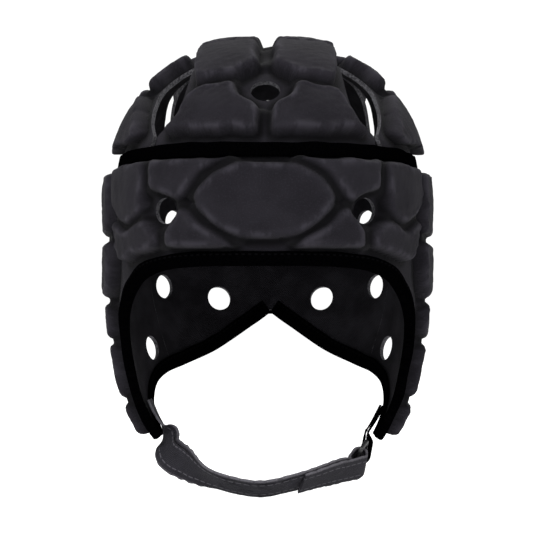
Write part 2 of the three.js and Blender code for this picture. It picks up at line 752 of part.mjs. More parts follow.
function chinStrap() {
  const radius = strapFold + strapThick / 2;
  const curve = new THREE.CatmullRomCurve3([
    ...[-18, -9, 1].map((up) => lay(bandSurface, new THREE.Vector3(around(-92), tabTip - up, strapTabLift))),
    ...strapStations.map(
      ({ across, forward, fall }) =>
        new THREE.Vector3(across * strapHalfSpan, -forward * strapForward, tabTip - fall * strapFall),
    ),
    ...[-8, -3].map((along) => onRing(ringBar, along, -radius)),
  ]);
  const steps = 28;
  const station = (share, side, lift) => {
    const ahead = curve.getTangentAt(share);
    const wide = tabWide.clone().lerp(strapWide, smoothstep(share, 0.03, 0.3));
    wide.lerp(ringWide, smoothstep(share, 0.75, 1));
    const out = ahead.clone().cross(wide).normalize();
    const point = curve.getPointAt(share).addScaledVector(out, lift);
    return { point, ahead: ahead.multiplyScalar(side), wide };
  };
  const away = Array.from({ length: steps + 1 }, (_, i) => station(i / steps, 1, 0));
  const turn = aroundBar(ringBar, radius, [-75, -30, 15, 60, 105]);
  const back = [25.6, 24.6, 23.5, 22.4, strapEnd].map((step) => station(step / steps, -1, strapThick + gap));
  return webbingSolid([...away, ...turn, ...back], strapWidth, strapThick);
}

function strapRing() {
  const long = strapWidth + 3 * gap + 2 * ringBarSize;
  const middle = ringBar.clone().lerp(ringFarBar, 0.5);
  const outline = (inset) => {
    const corner = ringCorner - inset;
    const [x, y] = [long / 2 - inset, ringDepth / 2 - inset];
    const corners = [[x, y], [-x, y], [-x, -y], [x, -y]].map(([a, b]) => new THREE.Vector2(a, b));
    return roundedOutline(corners, corner, 2);
  };
  const inner = outline(ringBarSize);
  const place = (flat, lift) => onRing(middle, flat.y, lift).addScaledVector(ringWide, flat.x);
  const half = ringBarSize / 2;
  const rings = outline(0).map((out, i) => [
    place(out, -half),
    place(out, half),
    place(inner[i], half),
    place(inner[i], -half),
  ]);
  return sweptSolid(rings, true);
}

// A short tape from the lining of the left cheek tab, round the ring and back
function ringTab() {
  const radius = ringBarClear + ringTabThick / 2;
  const onTab = (lift) =>
    [-14, -6, 2].map((up) => lay(bandSurface, new THREE.Vector3(around(92), tabTip - up, lift)));
  const round = aroundBar(ringFarBar, radius, [90, 135, 180, 225, 270]);
  const run = (lift, side) => {
    const near = onRing(ringFarBar, 4, side * radius);
    const curve = new THREE.CatmullRomCurve3([...onTab(lift), near]);
    return [0, 0.2, 0.4, 0.6, 0.8, 1].map((share) => ({
      point: curve.getPointAt(share),
      ahead: curve.getTangentAt(share).multiplyScalar(side),
      wide: tabWide.clone().lerp(ringWide, smoothstep(share, 0.4, 1)),
    }));
  };
  const under = run(ringTabLift - ringTabThick - gap, -1).reverse();
  const stations = [...run(ringTabLift, 1), ...round, ...under];
  const facing = stations.map((station) => ({ ...station, wide: station.wide.clone().negate() }));
  return webbingSolid(facing, ringTabWidth, ringTabThick);
}

// The meshes

const fabric = { color: 0x2b2a2f, roughness: 0.85, metalness: 0 };
const webbing = { color: 0x26252b, roughness: 0.8, metalness: 0 };
const plastic = { color: 0x101012, roughness: 0.45, metalness: 0 };
const tape = { color: 0x0b0b0d, roughness: 0.9, metalness: 0 };

function mesh(name, solid, look) {
  const { vertProperties, triVerts } = solid.getMesh();
  const geometry = new THREE.BufferGeometry();
  geometry.setAttribute("position", new THREE.BufferAttribute(new Float32Array(vertProperties), 3));
  geometry.setIndex(new THREE.BufferAttribute(new Uint32Array(triVerts), 1));
  geometry.computeVertexNormals();
  const made = new THREE.Mesh(geometry, new THREE.MeshStandardMaterial(look));
  made.name = name;
  return made;
}

const cap = new THREE.Group();
cap.add(mesh("crown_panel", crownPanel(), fabric));
cap.add(mesh("brow_panel", browPanel(), fabric));
cap.add(mesh("crown_seam_tape", seamTape(), tape));
cap.add(mesh("face_binding", faceBinding(), tape));
cap.add(mesh("nape_tie", napeTie(), tape));
cap.add(mesh("chin_strap", chinStrap(), webbing));
cap.add(mesh("strap_ring", strapRing(), plastic));
cap.add(mesh("ring_tab", ringTab(), tape));
for (const [word, side] of [["left", 1], ["right", -1]]) {
  cap.add(mesh("crown_side_panel_" + word, crownSidePanel(side), fabric));
  cap.add(mesh("side_panel_" + word, sidePanel(side), fabric));
  cap.add(mesh("back_panel_" + word, backPanel(side), fabric));
  cap.add(mesh("nape_binding_" + word, napeBinding(side), tape));
}

export default cap;
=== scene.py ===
import math

import bmesh
import bpy
import numpy as np
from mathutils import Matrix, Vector


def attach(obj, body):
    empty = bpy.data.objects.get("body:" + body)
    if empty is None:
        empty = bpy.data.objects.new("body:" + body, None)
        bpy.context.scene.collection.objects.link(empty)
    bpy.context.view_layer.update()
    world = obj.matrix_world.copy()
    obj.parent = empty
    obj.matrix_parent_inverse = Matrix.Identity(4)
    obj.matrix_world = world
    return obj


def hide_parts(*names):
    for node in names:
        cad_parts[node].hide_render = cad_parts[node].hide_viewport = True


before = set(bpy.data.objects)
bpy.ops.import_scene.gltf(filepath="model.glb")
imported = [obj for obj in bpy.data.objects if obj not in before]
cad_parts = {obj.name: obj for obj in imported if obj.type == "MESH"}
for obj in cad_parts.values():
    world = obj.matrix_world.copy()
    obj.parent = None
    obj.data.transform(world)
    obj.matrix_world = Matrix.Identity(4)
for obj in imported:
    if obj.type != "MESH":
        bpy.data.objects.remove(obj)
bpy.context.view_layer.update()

# Lengths are in millimetres until a mesh is finished, then in metres
body = "root"

head = {  # the head form that the lining lies on
    "halfWidth": 80.5,
    "frontDepth": 97,
    "backDepth": 99,
    "crownHeight": 80,
    "domePower": 2.15,
    "planPower": 2.3,
    "skirtHeight": 140,
    "sections": [  # drop below the widest level, then shares of width, front depth and back depth
        [0, 1, 1, 1], [0.14, 1, 0.995, 0.99], [0.29, 1, 0.98, 0.95], [0.43, 0.996, 0.96, 0.89],
        [0.57, 0.969, 0.94, 0.82], [0.68, 0.932, 0.92, 0.77], [0.79, 0.882, 0.9, 0.73],
        [0.89, 0.801, 0.88, 0.7], [1, 0.683, 0.845, 0.67],
    ],
    "seamDrop": 56.6,
    "seamSag": 4.6,
    "unroll": 90,  # turns an angle round the head into a length on the flat pattern
}


def smoothTable(rows, samples=561):
    # a smooth curve through the rows of a table, sampled finely
    rows = np.array(rows, float)
    x, y = rows[:, 0], rows[:, 1:]
    slope = np.gradient(y, x, axis=0)
    at = np.linspace(x[0], x[-1], samples)
    i = np.clip(np.searchsorted(x, at, side="right") - 1, 0, len(x) - 2)
    span = (x[i + 1] - x[i])[:, None]
    t = (at - x[i])[:, None] / span
    return at, ((1 + 2 * t) * (1 - t) ** 2 * y[i] + t * (1 - t) ** 2 * span * slope[i]
                + t * t * (3 - 2 * t) * y[i + 1] + t * t * (t - 1) * span * slope[i + 1])


sectionDrops, sectionShares = smoothTable(head["sections"])


def halfSizes(z):
    rise = np.clip((z + head["crownHeight"]) / head["crownHeight"], 0, 1)
    dome = np.maximum(1 - rise ** head["domePower"], 1e-12) ** (1 / head["domePower"])
    drop = np.clip((-head["crownHeight"] - z) / head["skirtHeight"], 0, 1)
    shares = np.stack([np.interp(drop, sectionDrops, sectionShares[:, k]) for k in range(3)], -1)
    return shares * dome[..., None] * [head["halfWidth"], head["frontDepth"], head["backDepth"]]


def headPoint(angle, z):
    half, power = halfSizes(z), head["planPower"]
    across, along = np.sin(angle), -np.cos(angle)
    depth = np.where(along < 0, half[..., 1], half[..., 2])
    radius = (np.abs(across / half[..., 0]) ** power + np.abs(along / depth) ** power) ** (-1 / power)
    return np.stack([radius * across, radius * along, z], -1)


# Length along a mean meridian against height, for drawing the crown flat
meridianTurn = np.linspace(0, math.pi / 2, 2401)
meanRadius = (head["halfWidth"] + (head["frontDepth"] + head["backDepth"]) / 2) / 2
meridianOut = meanRadius * np.sin(meridianTurn) ** (2 / head["domePower"])
meridianHeight = head["crownHeight"] * (np.cos(meridianTurn) ** (2 / head["domePower"]) - 1)
meridianLength = np.append(0, np.cumsum(np.hypot(np.diff(meridianOut), np.diff(meridianHeight))))


def crownSurface(u, v):
    length = np.hypot(u, v)
    over = np.maximum(length - meridianLength[-1], 0)
    return headPoint(np.arctan2(u, -v), np.interp(length, meridianLength, meridianHeight) - over)


def bandSurface(u, v):
    return headPoint(u / head["unroll"], v)


def lay(surface, flat, lift, reach=0.8):
    # flat pattern points, laid on the head and lifted off it
    u, v = flat[..., 0], flat[..., 1]
    right = surface(u + reach, v) - surface(u - reach, v)
    up = surface(u, v + reach) - surface(u, v - reach)
    out = np.cross(right, up)
    out /= np.linalg.norm(out, axis=-1, keepdims=True)
    return surface(u, v) + out * np.asarray(lift)[..., None]


def seamHeight(angle):
    return -head["seamDrop"] - head["seamSag"] * np.sin(angle) ** 4


# Flat outlines, as arrays of points


def mirrored(points):
    return (np.asarray(points) * [-1, 1])[::-1]


def turned(points):
    return (np.asarray(points) * [1, -1])[::-1]


def resampled(points, step):
    points = np.asarray(points, float)
    length = np.append(0, np.cumsum(np.linalg.norm(np.diff(points, axis=0), axis=1)))
    at = np.linspace(0, length[-1], max(int(round(length[-1] / step)), 2) + 1)
    return np.stack([np.interp(at, length, column) for column in points.T], -1)


def smoothLine(points, step=3.0):
    points = np.asarray(points, float)
    padded = np.concatenate([points[:1], points, points[-1:]])
    t = np.linspace(0, 1, 24, endpoint=False)[:, None]
    pieces = []
    for p0, p1, p2, p3 in zip(padded, padded[1:], padded[2:], padded[3:]):
        a, b = (p2 - p0) / 2, (p3 - p1) / 2
        pieces.append((2 * (p1 - p2) + a + b) * t ** 3 + (3 * (p2 - p1) - 2 * a - b) * t ** 2 + a * t + p1)
    return resampled(np.concatenate([*pieces, points[-1:]]), step)


def roundedOutline(corners, radius, steps=6):
    corners = np.asarray(corners, float)
    radii = np.broadcast_to(radius, len(corners))
    t = np.linspace(0, 1, steps + 1)[:, None]
    points = []
    for before, corner, after, cut in zip(np.roll(corners, 1, 0), corners, np.roll(corners, -1, 0), radii):
        back, on = np.linalg.norm(before - corner), np.linalg.norm(after - corner)
        start = corner + (before - corner) * min(cut / back, 0.48)
        end = corner + (after - corner) * min(cut / on, 0.48)
        points.append(start * (1 - t) ** 2 + corner * 2 * t * (1 - t) + end * t ** 2)
    return np.concatenate(points)


def circle(centre, radius, sides=36):
    turn = np.linspace(0, 2 * math.pi, sides, endpoint=False)
    return np.asarray(centre) + radius * np.stack([np.cos(turn), np.sin(turn)], -1)


def toOutline(points, outline):
    # distance to a closed outline, more than 0 inside it, and the nearest point on it
    best = np.full(len(points), np.inf)
    nearest = np.zeros_like(points)
    inside = np.zeros(len(points), bool)
    x, y = points[:, 0], points[:, 1]
    for start, end in zip(outline, np.roll(outline, -1, 0)):
        way = end - start
        share = np.clip(((x - start[0]) * way[0] + (y - start[1]) * way[1]) / max(way @ way, 1e-12), 0, 1)
        footX, footY = start[0] + share * way[0], start[1] + share * way[1]
        apart = (x - footX) ** 2 + (y - footY) ** 2
        closer = apart < best
        best[closer] = apart[closer]
        nearest[closer, 0], nearest[closer, 1] = footX[closer], footY[closer]
        if start[1] != end[1]:
            inside ^= ((start[1] > y) != (end[1] > y)) & (x < start[0] + way[0] * (y - start[1]) / way[1])
    return np.where(inside, 1, -1) * np.sqrt(best), nearest


def smoothStep(value, low, high):
    share = np.clip((value - low) / (high - low), 0, 1)
    return share * share * (3 - 2 * share)


def ripple(points, size, seed):
    # a smooth wander between about -1 and 1, whose waves are about size long
    turns = np.random.default_rng(seed)
    total = 0
    for _ in range(7):
        way = turns.normal(size=points.shape[-1])
        way *= 2 * math.pi * turns.uniform(0.55, 1.5) / size / np.linalg.norm(way)
        total = total + np.sin(points @ way + turns.uniform(0, 2 * math.pi))
    return total / 3


# Shader nodes


class Wire:  # a socket that can be used in sums
    def __init__(self, finish, socket):
        self.finish, self.socket = finish, socket

    def sum(self, operation, *values):
        return self.finish.add("Math", {"operation": operation}, values)

    def __add__(self, other):
        return self.sum("ADD", self, other)

    def __sub__(self, other):
        return self.sum("SUBTRACT", self, other)

    def __rsub__(self, other):
        return self.sum("SUBTRACT", other, self)

    def __mul__(self, other):
        return self.sum("MULTIPLY", self, other)

    def __abs__(self):
        return self.sum("ABSOLUTE", self)

    __radd__, __rmul__ = __add__, __mul__


class Finish:  # a material and the one method that adds its nodes
    def __init__(self, name):
        self.material = bpy.data.materials.new(name)
        self.material.use_nodes = True
        self.tree = self.material.node_tree
        self.tree.nodes.clear()

    def add(self, kind, settings=None, sockets=(), out=0):
        node = self.tree.nodes.new("ShaderNode" + kind)
        for key, value in (settings or {}).items():
            setattr(node, key, value)
        for key, value in sockets.items() if isinstance(sockets, dict) else enumerate(sockets):
            if isinstance(value, Wire):
                self.tree.links.new(value.socket, node.inputs[key])
            else:
                node.inputs[key].default_value = value
        return Wire(self, node.outputs[out]) if node.outputs else None

    def pattern(self):
        # the piece's own flat coordinates, in millimetres
        flat = self.add("UVMap", {"uv_map": "pattern"})
        return self.add("VectorMath", {"operation": "SCALE"}, {0: flat, "Scale": 1000})

    def noise(self, where, size, detail=2.0, roughness=0.55):
        sockets = {"Vector": where, "Scale": 1 / size, "Detail": detail, "Roughness": roughness}
        return self.add("TexNoise", {}, sockets)

    def fade(self, value, low, high, start=0.0, end=1.0):
        return self.add("MapRange", {"interpolation_type": "SMOOTHSTEP"}, [value, low, high, start, end])

    def mixed(self, factor, first, second):
        colour = lambda c: c if isinstance(c, Wire) else (*c, 1)
        sockets = {0: factor, 6: colour(first), 7: colour(second)}
        return self.add("Mix", {"data_type": "RGBA"}, sockets, out=2)

    def wave(self, value, length, shift=0.0):
        return self.add("Math", {"operation": "SINE"}, [value * (2 * math.pi / length) + shift])

    def shaded(self, height, distance, strength=1.0, under=None):
        sockets = {"Height": height, "Distance": distance * 0.001, "Strength": strength}
        if under:
            sockets["Normal"] = under
        return self.add("Bump", {}, sockets)

    def finished(self, **sockets):
        named = lambda key: key.replace("_", " ").title().replace("Ior", "IOR")
        surface = self.add("BsdfPrincipled", {}, {named(key): value for key, value in sockets.items()})
        self.add("OutputMaterial", {}, {"Surface": surface})
        return self.material


# the cover's own tone, a paler tone for its random clouds and fibres that also serves as the painted shoulder
# highlight, and the painted shade of the creases
coverLook = {
    "base": (0.0065, 0.0059, 0.0080),
    "pale": (0.0255, 0.0237, 0.0300),
    "creaseShadeTone": (0.0014, 0.0013, 0.0018),
}


def coverFabric():
    # a brushed knit over foam, drawn tight over the pads' shoulders, with a painted highlight on the shoulders
    # and painted shade in the creases
    look = Finish("charcoal_knit")
    flat = look.pattern()
    # where the creases get painted shade, and the band along the pads' shoulders that gets a painted highlight
    # and puckers
    creaseShade = look.add("Attribute", {"attribute_name": "creaseShade"}, out=2)
    shoulder = look.add("Attribute", {"attribute_name": "shoulder"}, out=2)
    cloudy = look.noise(flat, 26.0, 3.0)
    fibres = look.noise(flat, 0.7, 3.0, 0.7)
    stretched = look.add("VectorMath", {"operation": "MULTIPLY"}, [flat, (1, 0.45, 1)])
    folds = look.noise(stretched, 7.0, 4.0, 0.6)
    # pale folds on the shoulders: a painted highlight
    shoulderHighlight = look.fade(folds, 0.45, 0.59) * shoulder
    tone = look.mixed(look.fade(cloudy, 0.3, 0.72, 0.0, 0.2), coverLook["base"], coverLook["pale"])
    tone = look.mixed(look.fade(fibres, 0.48, 0.74, 0.0, 0.55), tone, coverLook["pale"])
    # painted highlight along the pads' shoulders
    tone = look.mixed(shoulderHighlight * 0.7 + shoulder * 0.15, tone, coverLook["pale"])
    # painted shade in the creases
    tone = look.mixed(creaseShade * 0.93, tone, coverLook["creaseShadeTone"])
    across = look.add("SeparateXYZ", {}, [flat], out=0)
    along = look.add("SeparateXYZ", {}, [flat], out=1)
    knit = look.wave(across, 0.62) * look.wave(along + across * 0.5, 0.85)
    fine = look.shaded(knit * 0.5 + fibres * 1.3, 0.16)
    draped = look.shaded(folds * (shoulder * 1.6 + 0.35), 1.0, 0.75, fine)
    rough = look.fade(fibres, 0.2, 0.8, 0.82, 0.97)
    return look.finished(base_color=tone, roughness=rough, normal=draped, sheen_weight=0.015,
                         sheen_roughness=0.45, specular_ior_level=0.08)


def cutEdge():
    # foam between two cloths, where the sheet is cut
    look = Finish("cut_foam_edge")
    place = look.add("TexCoord", {}, out=3)
    grain = look.noise(place, 0.0011, 4.0, 0.7)
    tone = look.mixed(look.fade(grain, 0.35, 0.7), (0.014, 0.0135, 0.016), (0.095, 0.093, 0.102))
    return look.finished(base_color=tone, roughness=0.95, normal=look.shaded(grain, 0.35),
                         specular_ior_level=0.2)


def liningCloth():
    look = Finish("black_lining")
    flat = look.pattern()
    across = look.add("SeparateXYZ", {}, [flat], out=0)
    along = look.add("SeparateXYZ", {}, [flat], out=1)
    mesh = look.wave(across, 1.3) * look.wave(along, 1.3)
    cloudy = look.noise(flat, 18.0, 3.0)
    tone = look.mixed(look.fade(cloudy, 0.35, 0.7), (0.0060, 0.0056, 0.0070), (0.0135, 0.0128, 0.0155))
    return look.finished(base_color=tone, roughness=look.fade(mesh, -1, 1, 0.85, 0.98),
                         normal=look.shaded(mesh * 0.6 + cloudy * 3.0, 0.3), specular_ior_level=0.07)


def bindingTape():
    # a ribbed black tape with a line of stitches along each of its edges
    look = Finish("black_binding")
    flat = look.pattern()
    along = look.add("SeparateXYZ", {}, [flat], out=0)
    across = look.add("SeparateXYZ", {}, [flat], out=1)
    ribs = look.wave(along, 0.75)
    fuzz = look.noise(flat, 0.9, 3.0, 0.7)
    row = look.fade(abs(across - 4.7), 0.55, 0.2)
    stitch = row * look.fade(look.wave(along, 3.1), -0.35, 0.25)
    tone = look.mixed(look.fade(fuzz, 0.42, 0.75), (0.0002, 0.0002, 0.0003), (0.0010, 0.0009, 0.0011))
    tone = look.mixed(stitch * 0.5, tone, (0.0040, 0.0038, 0.0044))
    normal = look.shaded(ribs * 0.4 + fuzz * 1.2 + stitch * 2.2 - row * 1.6, 0.2)
    return look.finished(base_color=tone, roughness=look.fade(fuzz, 0.3, 0.8, 0.66, 0.9), normal=normal,
                         specular_ior_level=0.0)


def wovenWebbing():
    # a close weave with pale rubbed edges and a thread line along them
    look = Finish("woven_webbing")
    flat = look.pattern()
    along = look.add("SeparateXYZ", {}, [flat], out=0)
    across = look.add("SeparateXYZ", {}, [flat], out=1)
    weave = look.wave(along + across * 0.6, 1.15) * look.wave(along - across * 0.6, 1.15)
    fuzz = look.noise(flat, 0.8, 4.0, 0.7)
    cloudy = look.noise(flat, 14.0, 2.0)
    fromEdge = 10.0 - abs(across)
    rubbed = look.fade(fromEdge + (fuzz - 0.5) * 3.2, 1.7, 0.1)
    row = look.fade(abs(fromEdge - 4.4 + (cloudy - 0.5) * 1.6), 0.55, 0.15)
    thread = row * look.fade(look.wave(along, 4.2), -0.85, -0.2)
    tone = look.mixed(look.fade(weave, -0.8, 0.9), (0.0060, 0.0056, 0.0080), (0.0190, 0.0180, 0.0235))
    tone = look.mixed(look.fade(cloudy, 0.35, 0.75, 0.0, 0.35), tone, (0.028, 0.027, 0.034))
    tone = look.mixed(rubbed * 0.75, tone, (0.125, 0.12, 0.135))
    tone = look.mixed(thread * 0.6, tone, (0.105, 0.10, 0.115))
    normal = look.shaded(weave * 0.7 + fuzz * 1.3 + rubbed * 1.2 + thread * 0.8, 0.26)
    return look.finished(base_color=tone, roughness=look.fade(fuzz, 0.2, 0.8, 0.74, 0.95), normal=normal,
                         sheen_weight=0.02, sheen_roughness=0.4, specular_ior_level=0.09)


def ringPlastic():
    look = Finish("satin_black_plastic")
    place = look.add("TexCoord", {}, out=3)
    stretched = look.add("VectorMath", {"operation": "MULTIPLY"}, [place, (1, 3, 1)])
    scuffs = look.noise(stretched, 0.0016, 4.0, 0.65)
    tone = look.mixed(look.fade(scuffs, 0.5, 0.78), (0.0075, 0.0075, 0.0082), (0.028, 0.028, 0.031))
    return look.finished(base_color=tone, roughness=look.fade(scuffs, 0.3, 0.75, 0.3, 0.52),
                         normal=look.shaded(scuffs, 0.05))


looks = {"cover": coverFabric(), "edge": cutEdge(), "lining": liningCloth(), "tape": bindingTape(),
         "webbing": wovenWebbing(), "plastic": ringPlastic()}
print("finishes made")


def dressed(mesh, name, node, materials):
    for material in materials:
        mesh.materials.append(material)
    piece = bpy.data.objects.new(name, mesh)
    bpy.context.scene.collection.objects.link(piece)
    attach(piece, body)
    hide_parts(node)
    return piece


# The padded panels

padding = {
    "cell": 0.95,  # of the mesh
    "sheet": 2.5,  # thickness of the laminate
    "padHeight": 8.5,
    "swell": 0.3,  # how far a pad spreads over its moulded line
    "shoulder": 3.0,  # radius of a pad's edge
    "crown": 0.1,  # share of the height that the middle of a pad gains
    "crownReach": 9,  # how far in from its edge the gain goes
    "gainHalf": 37.5,  # half width of the crown, over which its pads gain height outwards
    "creaseFloor": 0.6,  # how high a narrow crease stays, as a share of the pads' height
    "narrow": (4.0, 8.5),  # widths between which a crease opens to its full depth
    "floorReach": 8,
    "shadeFrom": (-0.6, 1.1),  # distances inside a pad's line between which the painted shade of a crease ends
    "shadeTo": (-6.0, -1.5),  # and outside it, between which the painted shade starts
    "rim": 2.4,  # how far from a cut edge the padding starts
    "tuck": (2.4, 1.7),  # how far in the cover puckers on a pad's edge, and how widely; the painted shoulder highlight lies on the same band
    "waver": (0.35, 17.0),  # depth and length of the ripples in the pads' lines,
    "puckers": (0.32, 6.5),  # on their shoulders,
    "sag": (0.22, 21.0),  # all over,
    "lumps": (0.12, 5.0),  # on their tops
    "slack": (0.12, 16.0),  # and in the lining
    "topFrom": 4,
    "leanFrom": (82, 106),  # reaches from the top of the head between which pads start to lean out
    "lean": 5,
    "far": 14.0,  # past any pad
    "pastPad": 12,
    "pastVent": 16,
    "fullness": 0.8,
}


def rippled(points, key, seed, where=1.0):
    depth, size = padding[key]
    return where * depth * ripple(points, size, seed)


def nearVent(points, vent):
    return np.linalg.norm(points - vent.mean(0), axis=1) < padding["pastVent"]


def padRelief(flat, pads, outline, vents, seed):
    # height over the laminate, how much painted crease shade each point gets, and how near a shoulder it is
    first = np.full(len(flat), -padding["far"])
    second = first.copy()
    rise = np.zeros(len(flat))
    past = padding["pastPad"]
    for pad, share, gain in pads:
        near = np.all((flat > pad.min(0) - past) & (flat < pad.max(0) + past), axis=1)
        share = share + gain * np.clip(np.abs(flat[:, 0]) / padding["gainHalf"], 0, 1) ** 2
        inside = np.full(len(flat), -padding["far"])
        inside[near] = toOutline(flat[near], pad)[0] + padding["swell"]
        inside = inside + rippled(flat, "waver", seed)
        second = np.maximum(second, np.minimum(first, inside))
        first = np.maximum(first, inside)
        turn = 1 - np.clip(inside / padding["shoulder"], 0, 1)
        top = 1 - padding["crown"] * np.exp(-np.maximum(inside, 0) / padding["crownReach"])
        rise = np.maximum(rise, share * np.sqrt(1 - turn * turn) * top)
    width = np.maximum(-first, 0) + np.maximum(-second, 0)
    floor = padding["creaseFloor"] * (1 - smoothStep(width, *padding["narrow"]))
    floor = floor * (first > -padding["floorReach"])
    rise = np.maximum(rise, floor + (1 - floor) * rise)
    tuckAt, tuckWide = padding["tuck"]
    shoulder = np.exp(-((first - tuckAt) / tuckWide) ** 2)
    # painted shade for the creases, from a little outside a pad's line to just inside it
    creaseShade = (1 - smoothStep(first, *padding["shadeFrom"])) * smoothStep(first, *padding["shadeTo"])
    height = padding["padHeight"] * rise
    height += rippled(flat, "puckers", seed + 1, shoulder) + rippled(flat, "sag", seed + 2)
    height += rippled(flat, "lumps", seed + 3) * np.clip(first / padding["topFrom"], 0, 1)
    rim = toOutline(flat, outline)[0]
    for vent in vents:
        near = nearVent(flat, vent)
        rim[near] = np.minimum(rim[near], -toOutline(flat[near], vent)[0])
    height *= smoothStep(rim, 0, padding["rim"])
    return np.maximum(height, 0), creaseShade, shoulder


def panelPiece(name, surface, outline, pads, vents, seed, lean=0):
    # a flat sheet with its holes, given its thickness and then laid on the head
    cell = padding["cell"]
    low, high = outline.min(0), outline.max(0)
    cells = np.ceil((high - low) / cell).astype(int) + 2
    middle = (low + high) / 2
    bm = bmesh.new()
    bmesh.ops.create_grid(bm, x_segments=int(cells[0]), y_segments=int(cells[1]), size=0.5)
    for v in bm.verts:
        v.co.x = middle[0] + v.co.x * cells[0] * cell
        v.co.y = middle[1] + v.co.y * cells[1] * cell
    bm.faces.ensure_lookup_table()
    centres = np.array([f.calc_center_median()[:2] for f in bm.faces])
    kept = toOutline(centres, outline)[0] > 0
    for vent in vents:
        near = nearVent(centres, vent)
        kept[near] &= toOutline(centres[near], vent)[0] < 0
    bmesh.ops.delete(bm, geom=[f for f, keep in zip(bm.faces, kept) if not keep], context="FACES")
    rim = [v for v in bm.verts if v.is_boundary]
    at = np.array([v.co[:2] for v in rim])
    apart, nearest = toOutline(at, outline)
    apart = np.abs(apart)
    for vent in vents:
        away, onVent = toOutline(at, vent)
        closer = np.abs(away) < apart
        apart[closer], nearest[closer] = np.abs(away)[closer], onVent[closer]
    for v, (x, y) in zip(rim, nearest):
        v.co.x, v.co.y = x, y
    ring, near = set(rim), set(rim)
    for _ in range(3):
        near |= {e.other_vert(v) for v in near for e in v.link_edges}
    inner = list(near - ring)
    for _ in range(3):
        bmesh.ops.smooth_vert(bm, verts=inner, factor=0.5, use_axis_x=True, use_axis_y=True,
                              use_axis_z=True)
    raised = bmesh.ops.extrude_face_region(bm, geom=bm.faces[:])
    cover = [g for g in raised["geom"] if isinstance(g, bmesh.types.BMVert)]
    bmesh.ops.translate(bm, vec=(0, 0, 1), verts=cover)
    bmesh.ops.recalc_face_normals(bm, faces=bm.faces[:])
    for f in bm.faces:  # cover, cut edge or lining
        levels = {round(v.co.z) for v in f.verts}
        f.material_index = 1 if len(levels) == 2 else (0 if 1 in levels else 2)
        f.smooth = True
    for e in bm.edges:
        e.smooth = len({f.material_index for f in e.link_faces}) < 2
    mesh = bpy.data.meshes.new(name)
    bm.to_mesh(mesh)
    bm.free()

    co = np.zeros(len(mesh.vertices) * 3, np.float32)
    mesh.vertices.foreach_get("co", co)
    co = co.reshape(-1, 3).astype(float)
    flat, outer = co[:, :2], co[:, 2] > 0.5
    height, creaseShade, shoulder = padRelief(flat, pads, outline, vents, seed)
    lining = rippled(flat, "slack", seed + 5) + padding["slack"][0]
    lift = np.where(outer, padding["sheet"] + height, lining)
    reach = np.linalg.norm(flat, axis=1)
    leant = outer * lean * smoothStep(reach, *padding["leanFrom"]) * height / padding["padHeight"]
    placed = lay(surface, flat * (1 + leant / np.maximum(reach, 1))[:, None], lift) * 0.001
    mesh.vertices.foreach_set("co", placed.astype(np.float32).ravel())
    # the painted crease shade and the shoulder band, for the cover's colour and bumps
    for key, values in (("creaseShade", creaseShade), ("shoulder", shoulder)):
        stored = mesh.attributes.new(key, "FLOAT", "POINT").data
        stored.foreach_set("value", (values * outer).astype(np.float32))
    corner = np.zeros(len(mesh.loops), np.int32)
    mesh.loops.foreach_get("vertex_index", corner)
    pattern = mesh.uv_layers.new(name="pattern").data
    pattern.foreach_set("uv", (flat[corner] * 0.001).astype(np.float32).ravel())
    mesh.update()
    cloths = [looks["cover"], looks["edge"], looks["lining"]]
    piece = dressed(mesh, name + "_padded", name, cloths)
    print(name, len(mesh.polygons), "faces")


crown = {  # in hundredths of the reach from crown to seam: across the head, then towards the back
    "unit": 1.07,
    "ventRadius": 7.8,
    "ventsAlong": (-69.5, 69.5),
    "leafFrontInner": [[37.8, -14], [37.8, -30], [39, -48], [42.4, -62], [47.5, -69.5], [54.5, -72.6],
                       [62, -73.4]],
    "leafBackInner": [[38.2, 14], [46, 19.5], [51.5, 29], [55, 42], [58, 56], [61, 66], [62.5, 73]],
    "leafOuter": [[38.6, -14.2], [49.5, -15], [58.5, -24.5], [62.6, -42], [65.3, -58], [64.6, -70.6]],
    "middlePads": [  # corner, share of the height at the middle, what it gains outwards, line
        [4, 1, 0, [[35.5, -65.2], [14.5, -67.6], [12.8, -75.5], [3.4, -82.5], [3.4, -97], [30, -92.2],
                   [55.5, -79.6], [45, -76.6]]],
        [4.5, 1.12, 0.34, [[3.4, -22.6], [32.5, -22.6], [32.5, -62.2], [13.5, -64], [10.5, -60],
                           [3.4, -55.5]]],
        [4.5, 1.12, 0.34, [[3.4, 19.2], [33.5, 19.2], [33.5, -19.2], [3.4, -19.2]]],
        [5, 1.12, 0.2, [[3.4, 22.6], [41, 22.6], [50, 45], [49, 61.6], [15.5, 64.5], [11.8, 60.5],
                        [3.4, 55.5]]],
        [5, 1, 0, [[51, 65.4], [15.8, 68.6], [12.8, 75.5], [3.4, 84], [3.4, 96.2], [30, 91],
                   [53, 80]]],
    ],
    "sidePads": [
        [4.5, 1.12, 0, [[41, -11.6], [50, -12.4], [58.5, -21.5], [65, -20], [65, 20], [58.5, 21.5],
                        [50, 12.4], [41, 11.6]]],
        [4.5, 1, 0, [[67.8, -24], [67.4, -40], [69, -64.5], [80, -57.6], [87.5, -44], [94.6, -26.5]]],
        [5, 0.95, 0, [[68.4, -20], [96.5, -22.5], [102, 0], [96.5, 22.5], [68.4, 20]]],
    ],
}


def crownLine(key):
    return smoothLine(np.array(crown[key]) * crown["unit"])


def crownPads(rows):
    return [(roundedOutline(np.array(points) * crown["unit"], corner), share, gain)
            for corner, share, gain, points in rows]


def crownSeamArc(start, end):
    angle = np.radians(np.linspace(start, end, int(abs(end - start) / 1.5) + 1))
    reach = np.interp(-seamHeight(angle), -meridianHeight, meridianLength) - 0.2
    return np.stack([reach * np.sin(angle), -reach * np.cos(angle)], -1)


def wholeOutline(half):
    return np.concatenate([mirrored(half)[:-1], half[:-1]])


